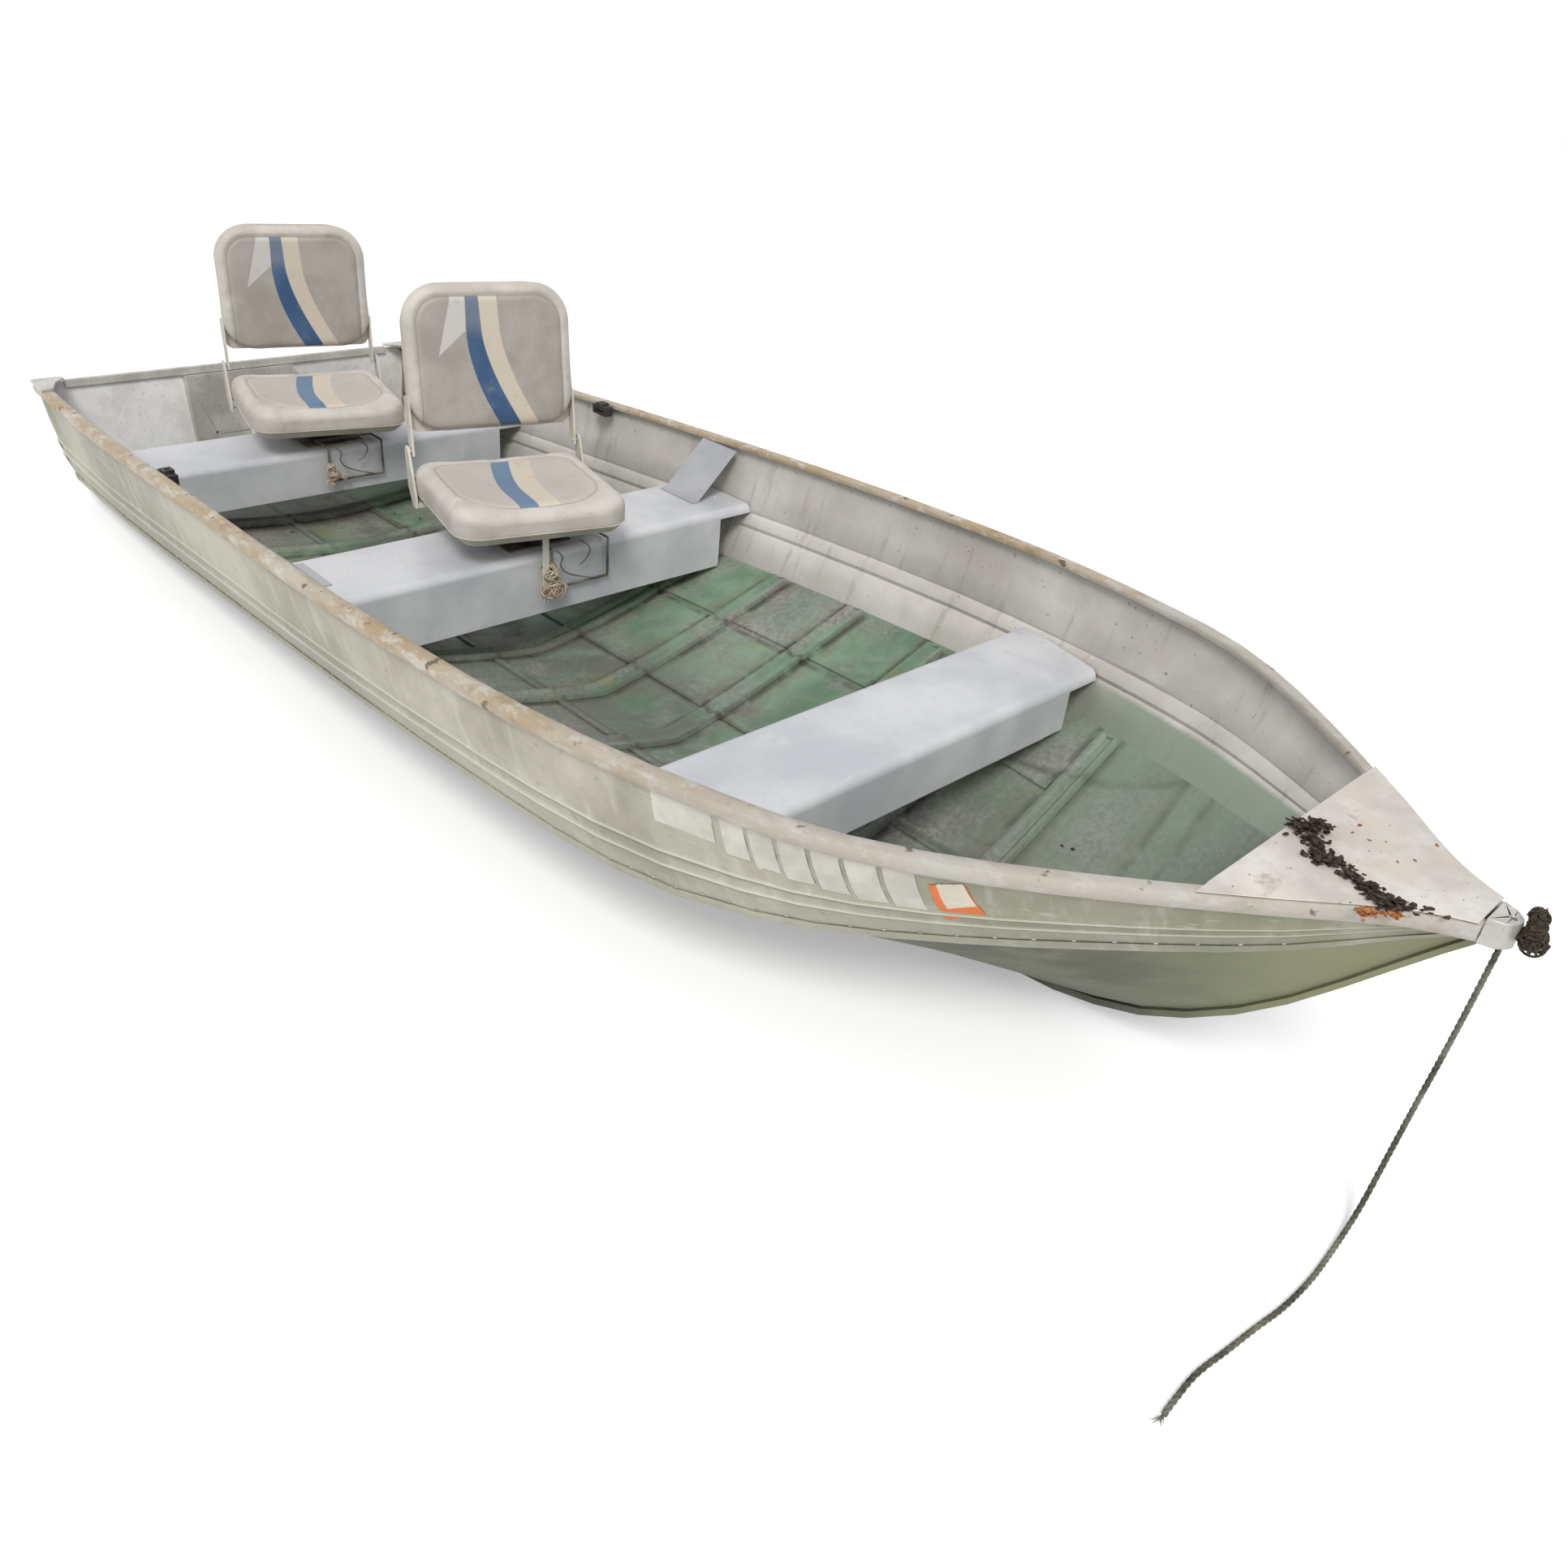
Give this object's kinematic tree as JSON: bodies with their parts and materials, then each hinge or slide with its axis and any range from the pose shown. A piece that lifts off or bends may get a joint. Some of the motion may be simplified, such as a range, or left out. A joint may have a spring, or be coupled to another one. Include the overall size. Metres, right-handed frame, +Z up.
{
  "type": "aluminum fishing boat",
  "caption": "Open riveted aluminium fishing boat with a shallow V bottom, three bench seats, a small bow deck and folding swivel seats clamped to two of the benches.",
  "frame": {"origin": "centre of the bounding box's base without the painter, on the ground under the keel", "axes": "+X towards the bow, +Y to port, +Z up"},
  "size_m": [4.3259, 1.5586, 0.9393],
  "materials": {
    "hull_aluminium": "weathered matte",
    "gunwale_aluminium": "weathered satin",
    "floor_paint": "worn matte paint",
    "bench_paint": "satin paint",
    "deck_paint": "worn satin paint",
    "dark_steel": "rusty satin",
    "brass": "dull",
    "foam": "matte",
    "seat_plastic": "matte",
    "seat_vinyl": "satin vinyl",
    "rope": "frayed matte"
  },
  "bodies": {
    "hull": {"bottom_port": "floor_paint", "bottom_starboard": "floor_paint", "bow_bottom_port": "floor_paint", "bow_bottom_starboard": "floor_paint", "side_port": "hull_aluminium", "side_starboard": "hull_aluminium", "chine_rails": "hull_aluminium", "keel_and_stem": "hull_aluminium", "skid_strakes": "hull_aluminium", "gunwale_port": "gunwale_aluminium", "gunwale_starboard": "gunwale_aluminium", "transom": "hull_aluminium", "transom_cap": "gunwale_aluminium", "stern_corners": "gunwale_aluminium", "motor_boards": "hull_aluminium", "drain_fitting": "brass", "transom_knee": "hull_aluminium", "floor_ribs": "floor_paint", "bow_ribs": "floor_paint", "floor_stringers": "floor_paint", "bench_aft": "bench_paint", "bench_mid": "bench_paint", "bench_bow": "bench_paint", "bench_foam": "foam", "bench_brackets": "hull_aluminium", "gunwale_knees": "bench_paint", "oarlock_sockets": "dark_steel", "bow_deck": "deck_paint", "bow_nose": "gunwale_aluminium", "aft_seat_clamp": "dark_steel", "mid_seat_clamp": "dark_steel", "painter_knot": "rope", "painter": "rope"},
    "aft_seat": {"aft_swivel": "dark_steel", "aft_seat_shell": "seat_plastic", "aft_cushion": "seat_vinyl"},
    "aft_back": {"aft_back_shell": "seat_plastic", "aft_back_pad": "seat_vinyl"},
    "mid_seat": {"mid_swivel": "dark_steel", "mid_seat_shell": "seat_plastic", "mid_cushion": "seat_vinyl"},
    "mid_back": {"mid_back_shell": "seat_plastic", "mid_back_pad": "seat_vinyl"}
  },
  "joints": [
    {"name": "aft_seat_swivel", "type": "hinge", "parent": "hull", "child": "aft_seat", "pos_m": [-1.5335, 0, 0.315], "axis": [0, 0, 1], "continuous": true},
    {"name": "aft_back_fold", "type": "hinge", "parent": "aft_seat", "child": "aft_back", "pos_m": [-1.71786, 0.04596, 0.471], "axis": [0.2419, 0.9703, 0], "range_deg": [0, 91]},
    {"name": "mid_seat_swivel", "type": "hinge", "parent": "hull", "child": "mid_seat", "pos_m": [-0.3945, 0, 0.365], "axis": [0, 0, 1], "continuous": true},
    {"name": "mid_back_fold", "type": "hinge", "parent": "mid_seat", "child": "mid_back", "pos_m": [-0.57886, 0.04596, 0.521], "axis": [0.2419, 0.9703, 0], "range_deg": [0, 98]}
  ]
}
